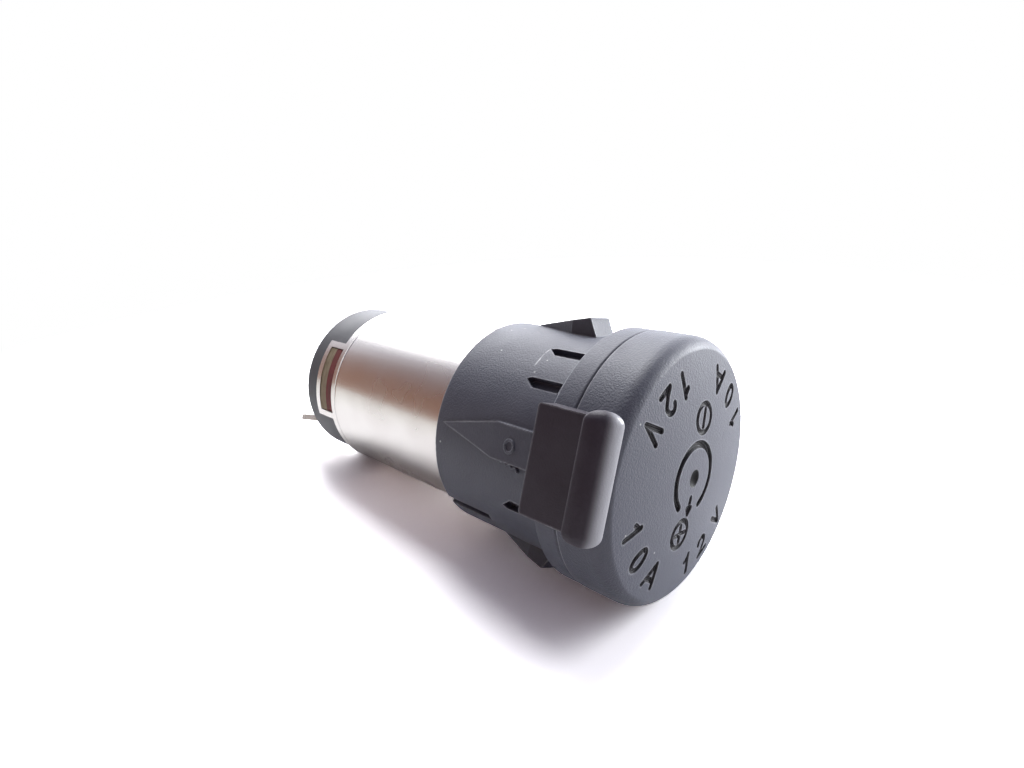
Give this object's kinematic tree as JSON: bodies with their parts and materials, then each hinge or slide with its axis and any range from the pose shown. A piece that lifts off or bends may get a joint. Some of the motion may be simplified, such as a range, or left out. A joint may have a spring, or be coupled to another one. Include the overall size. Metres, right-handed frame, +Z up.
{
  "type": "car 12v power socket",
  "caption": "Round car power socket with a hinged dust lid and finger tab, a snap-in sleeve with pockets, a metal plug tube and blade terminals on an insulated rear end.",
  "frame": {"origin": "on the socket's axis, in the plane of the flange face that seats on the front of the panel", "axes": "+Y along the axis from the lid to the terminals, -X to the lid's finger tab, +X to the hinge, +Z up"},
  "size_m": [0.0334, 0.0631, 0.0288],
  "materials": {
    "black_plastic": "fine matte moulding, blue-black",
    "rear_plastic": "smooth black moulding",
    "nickel_plate": "satin nickel plate",
    "steel": "plain bright steel",
    "brass": "plain brass",
    "red_fibre": "vulcanised fibre, dull red",
    "brown_fibre": "vulcanised fibre, olive brown"
  },
  "bodies": {
    "socket": {"outer_sleeve": "black_plastic", "socket_tube": "nickel_plate", "earth_plate": "nickel_plate", "negative_terminal": "nickel_plate", "earth_rivet": "nickel_plate", "insulating_bush": "brown_fibre", "red_washer": "red_fibre", "brown_washer": "brown_fibre", "rear_plug": "rear_plastic", "centre_contact": "nickel_plate", "positive_terminal": "brass", "rivet_washer": "steel", "lid_hinge_pin": "steel"},
    "dust_lid": {"lid": "black_plastic"}
  },
  "joints": [
    {"name": "lid_hinge", "type": "hinge", "parent": "socket", "child": "dust_lid", "pos_m": [0.0157, -0.0028, 0], "axis": [0, 0, 1], "range_deg": [0, 110]}
  ]
}
